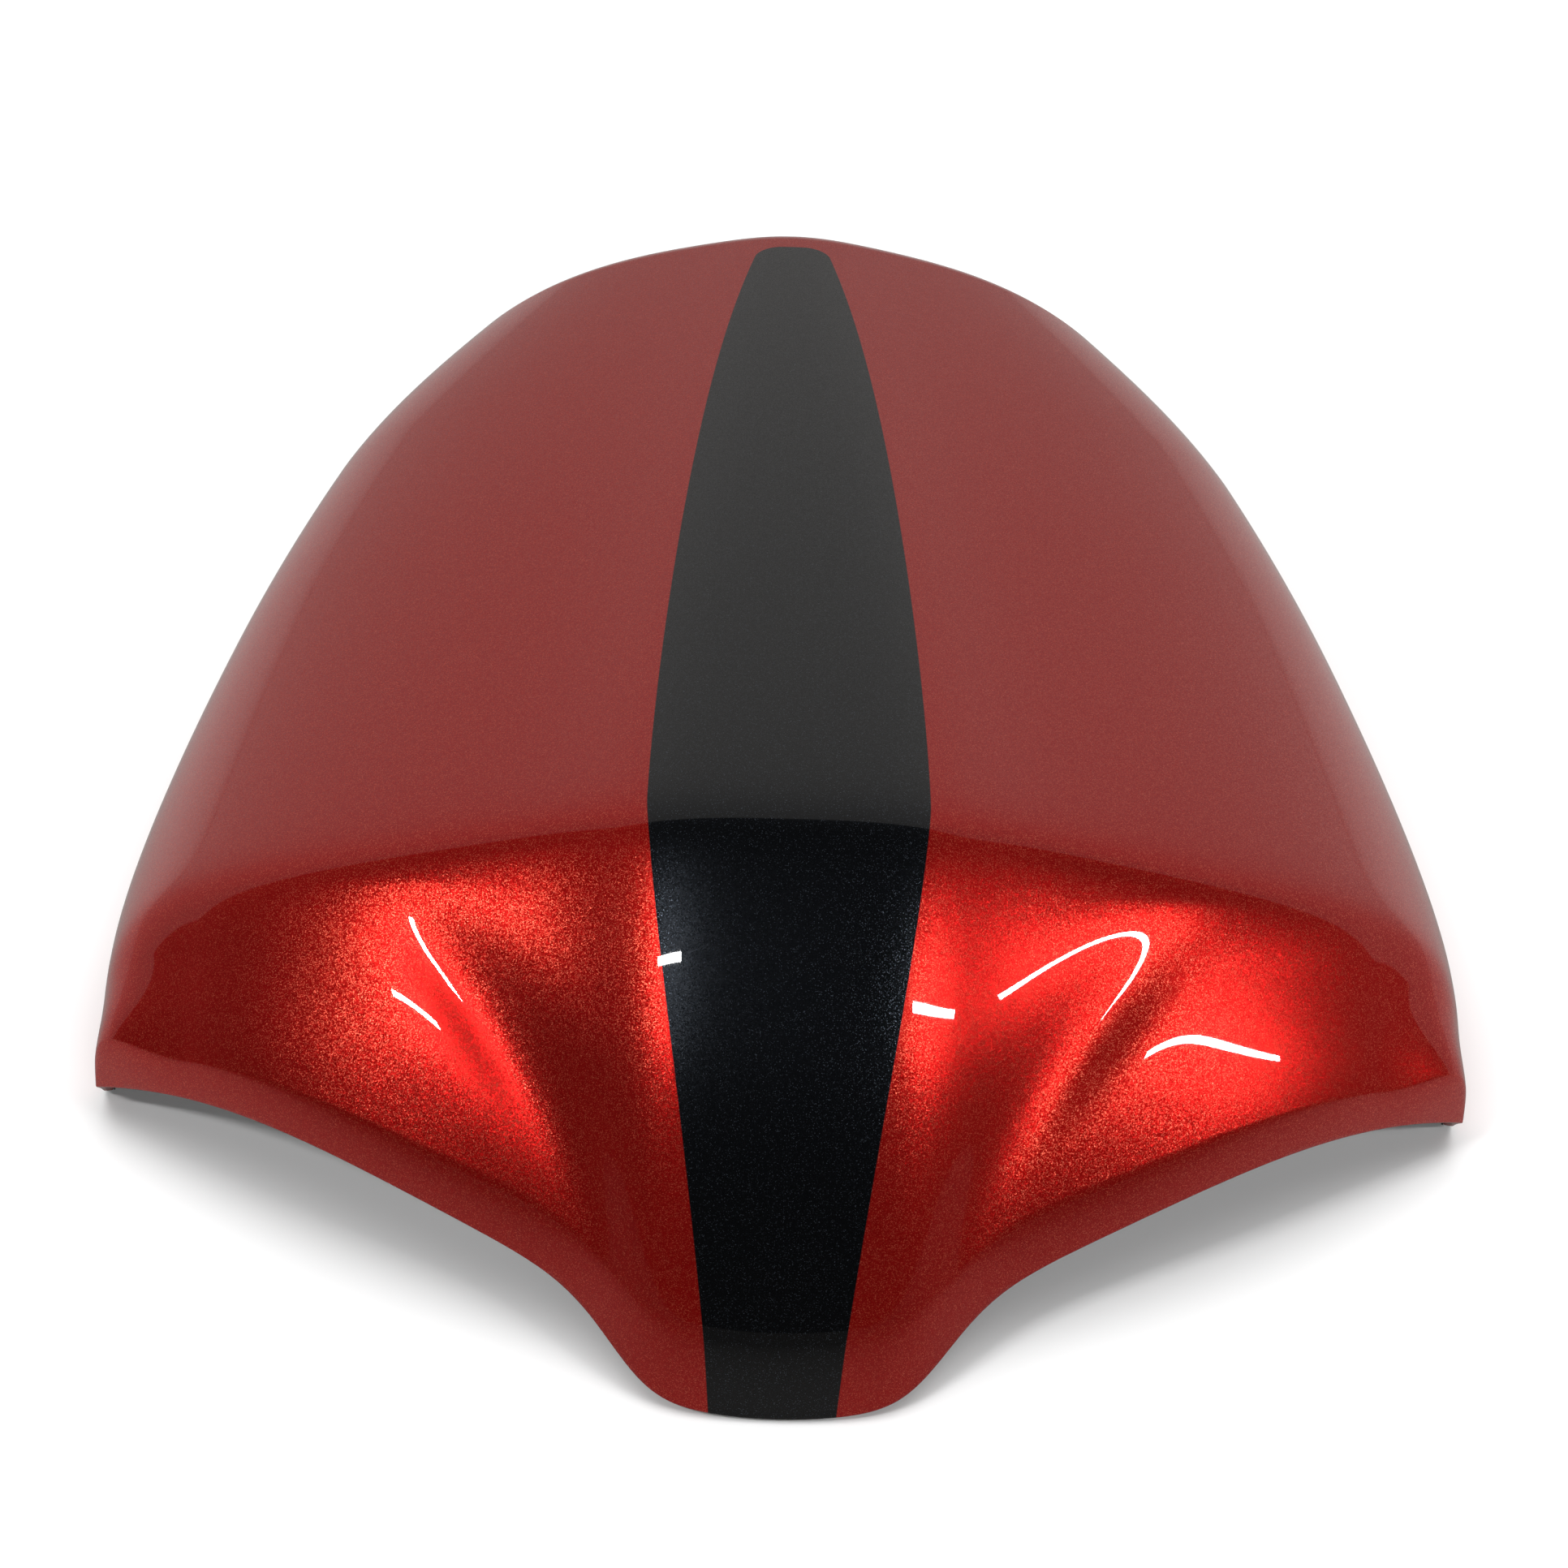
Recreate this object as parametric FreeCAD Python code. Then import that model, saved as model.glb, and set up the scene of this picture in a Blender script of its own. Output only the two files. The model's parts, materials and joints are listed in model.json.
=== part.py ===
import FreeCAD
import Part
import math
import os

# Rear seat cowl for a motorcycle: a painted shell over the pillion seat, with the
# pan, latch hardware, buffers, seals and trim clips that hold it to the subframe.
# Frame: X to the right, +Y to the tail, +Z up. The shell stands on its rim at Z = 0,
# and the middle of its length and width is the origin. Millimetres throughout.

V = FreeCAD.Vector
UP = V(0, 0, 1)

# Overall shell
LENGTH = 484.0
HALF_WIDTH = 189.5
CREST_HEIGHT = 111.0
WALL = 3.0
# Setback of the middle of the trimmed shell, which is the origin
MIDDLE = LENGTH / 2.0 + 0.55

# Plan outline, as setbacks measured behind the nose tip
EAR_SETBACK = 113.0
CREST_SETBACK = 100.0
WIDEST_SETBACK = 93.0
TAIL_TAPER = 0.456
FRONT_RAKE = 0.896
FRONT_BEND = 154.0
TONGUE_LENGTH = 21.6
TONGUE_HALF_WIDTH = 46.0
TONGUE_POWER = 6.6
SWEEP_REACH = 273.0
TAIL_BOW = 39.6
TAIL_BOW_POWER = 3.2
TAIL_SWEEP_REACH = 120.0

# Arch of the front rim, seen from the side
ARCH_HEIGHT = 36.0
ARCH_SKEW = 1.15
ARCH_POWER = 0.9
TRIM_ALLOWANCE = 6.0

# Top surface
TOP_FALL = 0.125
TOP_BELLY = 14.0
TOP_CROWN = 28.0
SPINE_HEIGHT = 15.0
SPINE_HALF_WIDTH = 57.0
SPINE_TAIL_HALF_WIDTH = 31.0
SPINE_FADE = 0.62
SPINE_POWER = 4.5
SPINE_TAIL_POWER = 2.0
SPINE_FRONT = 0.276

# Raked front face, its scoops and the turned-down skirt
FACE_REACH = 183.0
FACE_HEIGHT = 132.7
FACE_SIDE_DROP = 25.7
FACE_NOSE_FULLNESS = 1.22
FACE_SIDE_FULLNESS = 0.96
CREST_BLEND = 3.0
SCOOP_DEPTH = 4.5
SCOOP_REACH = 0.44
SCOOP_OFFSET = 42.0
SCOOP_SPREAD = 135.0
SCOOP_WIDTH = 16.0
SKIRT = 10.8
SKIRT_TIP = 3.0
SKIRT_EAR = 30.0
SKIRT_EDGE = 9.0

# Rolled sides and tail
SIDE_POWER = 2.4
SIDE_ROLL = 4.6
TAIL_ROLL = 30.0
TAIL_ROLL_POWER = 1.6

# Base pan
PAN_Z = 26.0
PAN_THICK = 2.5
PAN_TOP = PAN_Z + PAN_THICK
PAN_GAP = 1.0
PAN_LIP_DROP = 3.0
PAN_LIP_THICK = 2.0
PAN_FRONT_SETBACK = EAR_SETBACK + 12.0
PAN_FRONT_BOW = 22.0
PAN_RIB_HEIGHT = 3.0
PAN_RIB_THICK = 2.5
DRAIN_RADIUS = 4.0

# Screw bosses, brass inserts, screws and washers
BOSS_RADIUS = 6.0
BOSS_CORE_DEPTH = 14.0
BOSS_FIN_SPAN = 26.0
BOSS_FIN_THICK = 2.0
BOSS_FIN_HEIGHT = 22.0
INSERT_RADIUS = 3.2
INSERT_LENGTH = 8.0
INSERT_BORE = 2.05
SCREW_RADIUS = 2.0
SCREW_HOLE = 2.3
SCREW_LENGTH = 10.0
SCREW_HEAD_RADIUS = 4.0
SCREW_HEAD_HEIGHT = 2.8
WASHER_RADIUS = 5.5
WASHER_THICK = 1.0
BOSS_SPOTS = [
    (-0.36, 145.0), (0.36, 145.0), (-0.62, 236.0),
    (0.62, 236.0), (-0.42, 400.0), (0.42, 400.0),
]

# Latch striker
STRIKER_SETBACK = 185.0
STRIKER_PLATE_LENGTH = 62.0
STRIKER_PLATE_WIDTH = 40.0
STRIKER_PLATE_THICK = 3.0
STRIKER_ROD_RADIUS = 3.0
STRIKER_LEG_SPACING = 26.0
STRIKER_DROP = 19.0
STRIKER_BOLT_X = 23.0
STRIKER_BOLT_Y = 13.0
BOLT_RADIUS = 2.5
BOLT_HOLE = 2.75
BOLT_HEX_RADIUS = 4.6
BOLT_HEAD_HEIGHT = 3.5
NUT_HEIGHT = 4.0

# Tail hook plate
HOOK_SETBACK = 405.0
HOOK_PLATE_WIDTH = 76.0
HOOK_PLATE_LENGTH = 30.0
HOOK_THICK = 2.5
HOOK_TONGUE_WIDTH = 16.0
HOOK_TONGUE_OFFSET = 24.0
HOOK_LEG = 13.0
HOOK_REACH = 20.0
RIVET_RADIUS = 2.0
RIVET_HEAD_RADIUS = 4.0
RIVET_HEAD_HEIGHT = 1.4

# Rubber buffers
BUFFER_RADIUS = 10.0
BUFFER_HEIGHT = 16.0
BUFFER_STEM_RADIUS = 3.9
BUFFER_STEM_HOLE = 4.0
BUFFER_CAP_RADIUS = 6.0
BUFFER_CAP_HEIGHT = 3.0
BUFFER_SPOTS = {
    "buffer_front_left": (-0.34, 172.0),
    "buffer_front_right": (0.34, 172.0),
    "buffer_side_left": (-0.66, 282.0),
    "buffer_side_right": (0.66, 282.0),
    "buffer_tail": (0.0, 352.0),
}

# Mounting grommets with steel collars
GROMMET_SPOTS = {"left": (-0.72, 205.0), "right": (0.72, 205.0)}
GROMMET_HOLE = 8.0
GROMMET_NECK_RADIUS = 7.9
GROMMET_FLANGE_RADIUS = 11.0
GROMMET_FLANGE_THICK = 2.5
GROMMET_BORE = 5.5
COLLAR_RADIUS = 5.4
COLLAR_BORE = 3.3
COLLAR_FLANGE_RADIUS = 9.0
COLLAR_FLANGE_THICK = 1.5

# Foam pads and edge seals
FOAM_LENGTH = 90.0
FOAM_WIDTH = 26.0
FOAM_THICK = 5.0
FOAM_FRACTION = 0.36
FOAM_SETBACK = 275.0
SEAL_BOTTOM = 2.0
SEAL_HEIGHT = 9.0
SEAL_THICK = 4.0
SEAL_GLUE_GAP = 0.3
SEAL_SPLIT_SETBACK = 400.0
SEAL_SPLIT_GAP = 1.0

# Push-rivet trim clips: the centre pin slides down out of the body
CLIP_INBOARD = 20.0
CLIP_SETBACKS = (165.0, 330.0)
CLIP_HOLE = 4.0
CLIP_BODY_RADIUS = 3.9
CLIP_FLANGE_RADIUS = 8.0
CLIP_FLANGE_THICK = 1.5
CLIP_BORE = 2.1
CLIP_PIN_RADIUS = 2.04
CLIP_HEAD_RADIUS = 5.5
CLIP_HEAD_THICK = 1.6
CLIP_STANDOFF = 0.1
TAB_THICK = 2.5
TAB_WIDTH = 20.0
TAB_REACH = 32.0

# Grid of the skin surface, stopping just short of the untrimmed lower edges
ROWS_ACROSS = 49
ROWS_ALONG = 81
END_MARGIN = 0.15
SIDE_MARGIN = 0.04
SOFTEN_PASSES = 30


def clip(value):
    return max(0.0, min(1.0, value))


def front_setback(x):
    """Distance of the front edge behind the nose tip at a given X."""
    rake = FRONT_RAKE * (math.hypot(x, FRONT_BEND) - FRONT_BEND)
    tongue = 1.0 / (1.0 + (abs(x) / TONGUE_HALF_WIDTH) ** TONGUE_POWER)
    return rake + TONGUE_LENGTH * (1.0 - tongue)


def half_width(s):
    """Half width of the plan outline at setback s."""
    t = clip((s - WIDEST_SETBACK) / (LENGTH - WIDEST_SETBACK))
    return HALF_WIDTH * (1.0 - TAIL_TAPER * t * t)


def rim_height(setback):
    """Height of the rim above the ground plane, seen from the side."""
    t = clip(setback / EAR_SETBACK)
    return ARCH_HEIGHT * max(0.0, math.sin(math.pi * t ** ARCH_SKEW)) ** ARCH_POWER


def spine_height(x, s):
    """Raised centre ridge, narrowing and fading towards the tail."""
    t = clip((s - CREST_SETBACK) / (LENGTH - CREST_SETBACK))
    width = SPINE_HALF_WIDTH + (SPINE_TAIL_HALF_WIDTH - SPINE_HALF_WIDTH) * t
    power = SPINE_POWER + (SPINE_TAIL_POWER - SPINE_POWER) * t
    ridge = SPINE_HEIGHT * (1.0 - SPINE_FADE * t)
    start = clip(s / FACE_REACH / SPINE_FRONT)
    return ridge * (1.0 - (1.0 - start) ** 2) / (1.0 + (abs(x) / width) ** power)


def top_height(x, s):
    """Upper surface behind the crest, before the spine is added."""
    t = clip((s - CREST_SETBACK) / (LENGTH - CREST_SETBACK))
    fall = TOP_FALL * (s - CREST_SETBACK) + TOP_BELLY * t * t
    return CREST_HEIGHT - fall - TOP_CROWN * (x / HALF_WIDTH) ** 2


def face_height(x, s):
    """Raked front face, rising from the top of the skirt."""
    ax = abs(x)
    nose = 1.0 / (1.0 + (ax / TONGUE_HALF_WIDTH) ** TONGUE_POWER)
    skirt = SKIRT + (SKIRT_TIP - SKIRT) * nose
    skirt = skirt + SKIRT_EAR * clip((ax / HALF_WIDTH - 0.84) / 0.16) ** 2
    low = rim_height(front_setback(x)) + skirt
    high = FACE_HEIGHT - FACE_SIDE_DROP * (x / HALF_WIDTH) ** 2
    fullness = FACE_SIDE_FULLNESS + (FACE_NOSE_FULLNESS - FACE_SIDE_FULLNESS) * nose
    t = clip(s / FACE_REACH)
    rise = (1.0 - (1.0 - t) ** 2) ** (1.0 / fullness)
    return low + (high - low) * rise


def scoop_depth(x, s):
    """Hollow on each side of the nose ridge."""
    t = clip(s / FACE_REACH)
    middle = SCOOP_OFFSET + SCOOP_SPREAD * t
    across = math.exp(-((abs(x) - middle) / SCOOP_WIDTH) ** 2)
    rise = clip(t / SCOOP_REACH)
    return SCOOP_DEPTH * across * (4.0 * rise * (1.0 - rise)) ** 1.5


def skin_point(u, s):
    """Outer skin at width fraction u (-1 to 1) and setback s."""
    x = half_width(s) * u
    setback = front_setback(x)
    front_pull = max(0.0, 1.0 - s / SWEEP_REACH) ** 2
    tail_pull = max(0.0, 1.0 - (LENGTH - s) / TAIL_SWEEP_REACH) ** 1.5
    y = s - MIDDLE + setback * front_pull
    y = y - TAIL_BOW * abs(u) ** TAIL_BOW_POWER * tail_pull
    fade = clip(1.0 - s / 60.0)
    fade = fade * fade * (3.0 - 2.0 * fade)
    base = rim_height(setback) * fade - TRIM_ALLOWANCE
    top = top_height(x, s)
    face = face_height(x, s)
    blend = 0.5 * (top + face - math.sqrt((top - face) ** 2 + 4.0 * CREST_BLEND ** 2))
    crown = blend + spine_height(x, s) - scoop_depth(x, s)
    side = max(0.0, 1.0 - abs(u) ** SIDE_POWER) ** (1.0 / SIDE_ROLL)
    tail = (1.0 - (1.0 - clip((LENGTH - s) / TAIL_ROLL)) ** 2) ** (1.0 / TAIL_ROLL_POWER)
    front = (1.0 - (1.0 - clip(s / SKIRT_EDGE)) ** 2) ** 0.5
    return V(x, y, base + (crown - base) * side * tail * front)


def width_stations(count):
    """Width fractions from -1 to 1, evenly spaced along the rolled section."""
    steps = 2000
    height = CREST_HEIGHT / HALF_WIDTH
    fractions = []
    lengths = []
    total = 0.0
    last = None
    for k in range(steps + 1):
        rise = SIDE_MARGIN + (1.0 - SIDE_MARGIN) * math.cos(math.pi / 2.0 * k / steps)
        u = (1.0 - rise ** SIDE_ROLL) ** (1.0 / SIDE_POWER)
        z = height * rise
        if last is not None:
            total = total + math.hypot(u - last[0], z - last[1])
        last = (u, z)
        fractions.append(u)
        lengths.append(total)
    half = []
    k = 0
    for i in range(count // 2 + 1):
        goal = total * i / (count // 2)
        while k < steps and lengths[k] < goal - 1e-9:
            k = k + 1
        half.append(fractions[k])
    return [-u for u in reversed(half[1:])] + half


def length_stations(count):
    """Setbacks from nose to tail, closest together at the two rolled ends."""
    span = LENGTH - 2.0 * END_MARGIN
    waves = [(1.0 - math.cos(math.pi * k / (count - 1))) / 2.0 for k in range(count)]
    return [END_MARGIN + span * wave for wave in waves]


def skin_grid():
    stations = length_stations(ROWS_ALONG)
    return [[skin_point(u, s) for s in stations] for u in width_stations(ROWS_ACROSS)]


def grid_normals(grid):
    """Unit normals of a grid of points, pointing out of the shell."""
    rows = len(grid)
    cols = len(grid[0])
    normals = []
    for i in range(rows):
        line = []
        for j in range(cols):
            across = grid[min(i + 1, rows - 1)][j] - grid[max(i - 1, 0)][j]
            along = grid[i][min(j + 1, cols - 1)] - grid[i][max(j - 1, 0)]
            line.append(across.cross(along).normalize())
        normals.append(line)
    return normals


def soften_normals(normals):
    """Offset directions that turn gradually, so the inner skin mitres at the ears."""
    rows = len(normals)
    cols = len(normals[0])
    soft = normals
    for _ in range(SOFTEN_PASSES):
        blurred = []
        for i in range(rows):
            line = []
            for j in range(cols):
                total = V(0, 0, 0)
                for a in (max(i - 1, 0), i, min(i + 1, rows - 1)):
                    for b in (max(j - 1, 0), j, min(j + 1, cols - 1)):
                        total = total + soft[a][b]
                line.append(total * (1.0 / 9.0))
            blurred.append(line)
        soft = blurred
    scaled = []
    for i in range(rows):
        line = []
        for j in range(cols):
            line.append(soft[i][j] * (1.0 / max(0.75, soft[i][j].dot(normals[i][j]))))
        scaled.append(line)
    return scaled


def offset_grid(grid, normals, inset):
    rows = len(grid)
    cols = len(grid[0])
    return [[grid[i][j] - normals[i][j] * inset for j in range(cols)] for i in range(rows)]


def surface_through(grid):
    surface = Part.BSplineSurface()
    surface.interpolate(grid)
    return surface


def edge_curves(grid):
    """Boundary edges of the surface through a grid, in order round it."""
    surface = surface_through(grid)
    u0, u1, v0, v1 = surface.bounds()
    return [
        surface.vIso(v0).toShape(),
        surface.uIso(u1).toShape(),
        surface.vIso(v1).toShape(),
        surface.uIso(u0).toShape(),
    ]


def skin_solid(grid, inner):
    """Closed wall between the outer grid and the inner grid."""
    faces = [surface_through(grid).toShape(), surface_through(inner).toShape()]
    for outside, inside in zip(edge_curves(grid), edge_curves(inner)):
        faces.append(Part.makeRuledSurface(outside, inside))
    shell = Part.makeShell(faces)
    shell.sewShape()
    solid = Part.makeSolid(shell)
    if solid.Volume < 0:
        solid.reverse()
    return solid


def setback_at(x, y):
    """Setback whose skin line passes over the point (x, y)."""
    low = 0.0
    high = LENGTH
    for _ in range(50):
        middle = (low + high) / 2.0
        u = max(-1.0, min(1.0, x / half_width(middle)))
        if skin_point(u, middle).y < y:
            low = middle
        else:
            high = middle
    return (low + high) / 2.0


def skin_height(x, y):
    s = setback_at(x, y)
    return skin_point(max(-1.0, min(1.0, x / half_width(s))), s).z


def spot(fraction, setback):
    """Plan position given as a fraction of the local half width and a setback."""
    return fraction * half_width(setback), setback - MIDDLE


def cylinder(x, y, z, radius, height):
    return Part.makeCylinder(radius, height, V(x, y, z), UP)


def block(x, y, z, dx, dy, dz):
    """Box centred on (x, y) with its underside at z."""
    return Part.makeBox(dx, dy, dz, V(x - dx / 2.0, y - dy / 2.0, z))


def hexagon(x, y, z, radius, height):
    corners = [
        V(x + radius * math.cos(math.pi / 3 * k), y + radius * math.sin(math.pi / 3 * k), z)
        for k in range(6)
    ]
    return Part.Face(Part.makePolygon(corners + corners[:1])).extrude(V(0, 0, height))


def group(solids):
    return Part.makeCompound(solids)


def rim_cutter():
    """Everything below the rim line, drawn from the side and swept across."""
    points = []
    for k in range(29):
        setback = EAR_SETBACK * (1.0 - math.cos(math.pi * k / 28)) / 2.0
        points.append(V(-HALF_WIDTH - 30, setback - MIDDLE, rim_height(setback)))
    arch = Part.BSplineCurve()
    arch.interpolate(points)
    x = -HALF_WIDTH - 30
    front = -MIDDLE - 30
    back = MIDDLE + 30
    low = -40.0
    edges = [
        Part.makeLine(V(x, front, 0), points[0]),
        arch.toShape(),
        Part.makeLine(points[-1], V(x, back, 0)),
        Part.makeLine(V(x, back, 0), V(x, back, low)),
        Part.makeLine(V(x, back, low), V(x, front, low)),
        Part.makeLine(V(x, front, low), V(x, front, 0)),
    ]
    profile = Part.Face(Part.Wire(edges))
    return profile.extrude(V(2 * HALF_WIDTH + 60, 0, 0))


def clip_spots():
    spots = []
    for setback in CLIP_SETBACKS:
        for side in (-1, 1):
            spots.append((side * (half_width(setback) - CLIP_INBOARD), setback - MIDDLE))
    return spots


def moulded_features():
    """Bosses, fins and clip tabs, still running out through the skin."""
    features = []
    for fraction, setback in BOSS_SPOTS:
        x, y = spot(fraction, setback)
        top = skin_height(x, y) + 20.0
        root = skin_height(x, y) - BOSS_FIN_HEIGHT
        boss = cylinder(x, y, PAN_TOP, BOSS_RADIUS, top - PAN_TOP)
        along = block(x, y, root, BOSS_FIN_THICK, BOSS_FIN_SPAN, top - root)
        across = block(x, y, root, BOSS_FIN_SPAN, BOSS_FIN_THICK, top - root)
        features.append(boss.fuse([along, across]))
    for x, y in clip_spots():
        side = 1 if x > 0 else -1
        middle = x + side * (CLIP_INBOARD - TAB_REACH / 2.0 + 5.0)
        features.append(block(middle, y, PAN_TOP, TAB_REACH + 10.0, TAB_WIDTH, TAB_THICK))
    return features


def inside_part(feature, middle_face):
    """The piece of a feature that lies inside the middle of the wall."""
    pieces = feature.generalFuse([middle_face])[0].Solids
    return max(pieces, key=lambda piece: piece.Volume if is_inside(piece) else 0.0)


def is_inside(piece):
    centre = piece.CenterOfMass
    return centre.z < skin_height(centre.x, centre.y)


def cowl_shell():
    grid = skin_grid()
    normals = soften_normals(grid_normals(grid))
    shell = skin_solid(grid, offset_grid(grid, normals, WALL))
    middle = surface_through(offset_grid(grid, normals, WALL / 2.0)).toShape()
    shell = shell.cut(rim_cutter())
    shell = shell.fuse([inside_part(feature, middle) for feature in moulded_features()])
    holes = []
    for fraction, setback in BOSS_SPOTS:
        x, y = spot(fraction, setback)
        holes.append(cylinder(x, y, PAN_TOP - 1.0, INSERT_RADIUS, INSERT_LENGTH + 1.0))
        holes.append(cylinder(x, y, PAN_TOP, SCREW_HOLE, BOSS_CORE_DEPTH))
    for x, y in clip_spots():
        holes.append(cylinder(x, y, PAN_TOP - 1.0, CLIP_HOLE, TAB_THICK + 2.0))
    return shell.cut(holes)


def wall_line(z, inset, start):
    """Plan line a given distance inside the skin at height z, right front to left front."""
    last = LENGTH
    low = LENGTH - TAIL_ROLL
    for _ in range(50):
        middle = (low + last) / 2.0
        if skin_point(0.0, middle).z > z:
            low = middle
        else:
            last = middle
    count = 28
    right = []
    for k in range(count + 1):
        s = start + (low - start) * math.sin(math.pi / 2.0 * k / count)
        near = 0.0
        far = 1.0
        for _ in range(50):
            u = (near + far) / 2.0
            if skin_point(u, s).z > z:
                near = u
            else:
                far = u
        if k == count:
            near = 0.0
        point = skin_point(near, s)
        right.append(V(point.x, point.y, 0))
    line = right + [V(-p.x, p.y, 0) for p in reversed(right[:-1])]
    moved = []
    for k, point in enumerate(line):
        ahead = line[min(k + 1, len(line) - 1)]
        behind = line[max(k - 1, 0)]
        run = (ahead - behind).normalize()
        moved.append(point + V(-run.y, run.x, 0) * inset)
    return moved


def outline_face(z, level, inset, start, bow):
    """Flat face bounded by the wall line at height z and a bowed front edge."""
    points = wall_line(z, inset, start)
    curve = Part.BSplineCurve()
    curve.interpolate(points)
    nose = V(0, points[0].y - bow, 0)
    front = Part.Arc(points[-1], nose, points[0]).toShape()
    face = Part.Face(Part.Wire([curve.toShape(), front]))
    face.translate(V(0, 0, level))
    return face


def pan_ribs():
    ribs = []
    for fraction in (-0.52, -0.2, 0.2, 0.52):
        x, y = spot(fraction, 290.0)
        ribs.append(block(x, y, PAN_Z - PAN_RIB_HEIGHT, PAN_RIB_THICK, 120.0, PAN_RIB_HEIGHT + 1.0))
    for setback in (225.0, 372.0):
        x, y = spot(0.0, setback)
        span = 1.1 * half_width(setback)
        ribs.append(block(x, y, PAN_Z - PAN_RIB_HEIGHT, span, PAN_RIB_THICK, PAN_RIB_HEIGHT + 1.0))
    return ribs


def striker_bolt_spots():
    y0 = STRIKER_SETBACK - MIDDLE
    return [(i * STRIKER_BOLT_X, y0 + j * STRIKER_BOLT_Y) for i in (-1, 1) for j in (-1, 1)]


def rivet_spots():
    y0 = HOOK_SETBACK - MIDDLE
    return [(i * 14.0 + k * HOOK_TONGUE_OFFSET, y0) for k in (-1, 1) for i in (-0.5, 0.5)]


def base_pan():
    start = PAN_FRONT_SETBACK
    gap = WALL + PAN_GAP
    plate = outline_face(PAN_TOP, PAN_Z, gap, start, PAN_FRONT_BOW)
    pan = plate.extrude(V(0, 0, PAN_THICK))
    lip_z = PAN_Z - PAN_LIP_DROP
    outer = outline_face(PAN_TOP, lip_z, gap, start, PAN_FRONT_BOW)
    inner = outline_face(PAN_TOP, lip_z, gap + PAN_LIP_THICK, start + PAN_LIP_THICK, PAN_FRONT_BOW)
    height = V(0, 0, PAN_LIP_DROP + 0.5)
    lip = outer.extrude(height).cut(inner.extrude(height))
    pan = pan.fuse([lip] + pan_ribs())
    low = PAN_Z - PAN_LIP_DROP - 1.0
    tall = PAN_LIP_DROP + PAN_THICK + 2.0
    holes = []
    for fraction, setback in BOSS_SPOTS:
        x, y = spot(fraction, setback)
        holes.append(cylinder(x, y, low, SCREW_HOLE, tall))
    for fraction, setback in BUFFER_SPOTS.values():
        x, y = spot(fraction, setback)
        holes.append(cylinder(x, y, low, BUFFER_STEM_HOLE, tall))
    for fraction, setback in GROMMET_SPOTS.values():
        x, y = spot(fraction, setback)
        holes.append(cylinder(x, y, low, GROMMET_HOLE, tall))
    for x, y in clip_spots():
        holes.append(cylinder(x, y, low, CLIP_HOLE, tall))
    for x, y in striker_bolt_spots():
        holes.append(cylinder(x, y, low, BOLT_HOLE, tall))
    for x, y in rivet_spots():
        holes.append(cylinder(x, y, low, RIVET_RADIUS + 0.1, tall))
    for fraction, setback in ((-0.36, 205.0), (0.36, 205.0), (-0.36, 350.0), (0.36, 350.0)):
        x, y = spot(fraction, setback)
        holes.append(cylinder(x, y, low, DRAIN_RADIUS, tall))
    return pan.cut(holes)


def boss_inserts():
    solids = []
    for fraction, setback in BOSS_SPOTS:
        x, y = spot(fraction, setback)
        body = cylinder(x, y, PAN_TOP, INSERT_RADIUS - 0.02, INSERT_LENGTH)
        solids.append(body.cut(cylinder(x, y, PAN_TOP - 1, INSERT_BORE, INSERT_LENGTH + 2)))
    return group(solids)


def washer(x, y, z, radius, hole, thick):
    return cylinder(x, y, z, radius, thick).cut(cylinder(x, y, z - 1, hole, thick + 2))


def pan_washers():
    solids = []
    for fraction, setback in BOSS_SPOTS:
        x, y = spot(fraction, setback)
        solids.append(washer(x, y, PAN_Z - WASHER_THICK, WASHER_RADIUS, SCREW_HOLE, WASHER_THICK))
    return group(solids)


def cross_recess(x, y, z):
    arms = block(x, y, z, 4.0, 1.0, 1.6)
    return arms.fuse(block(x, y, z, 1.0, 4.0, 1.6))


def pan_screws():
    """Pan-head screws with a cross recess, driven up from below."""
    solids = []
    under = PAN_Z - WASHER_THICK
    for fraction, setback in BOSS_SPOTS:
        x, y = spot(fraction, setback)
        head = cylinder(x, y, under - SCREW_HEAD_HEIGHT, SCREW_HEAD_RADIUS, SCREW_HEAD_HEIGHT)
        rounded = [e for e in head.Edges if abs(e.CenterOfMass.z - under + SCREW_HEAD_HEIGHT) < 1e-3]
        head = head.makeFillet(1.2, [e for e in rounded if e.Length > SCREW_HEAD_RADIUS * 4])
        shank = cylinder(x, y, under, SCREW_RADIUS, SCREW_LENGTH)
        screw = head.fuse(shank)
        solids.append(screw.cut(cross_recess(x, y, under - SCREW_HEAD_HEIGHT)))
    return group(solids)


def striker_plate():
    x, y = 0.0, STRIKER_SETBACK - MIDDLE
    z = PAN_Z - STRIKER_PLATE_THICK
    plate = block(x, y, z, STRIKER_PLATE_LENGTH, STRIKER_PLATE_WIDTH, STRIKER_PLATE_THICK)
    corners = [e for e in plate.Edges if abs(e.tangentAt(e.FirstParameter).z) > 0.9]
    plate = plate.makeFillet(6.0, corners)
    holes = [cylinder(a, b, z - 1, BOLT_HOLE, STRIKER_PLATE_THICK + 2) for a, b in striker_bolt_spots()]
    return plate.cut(holes)


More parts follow.
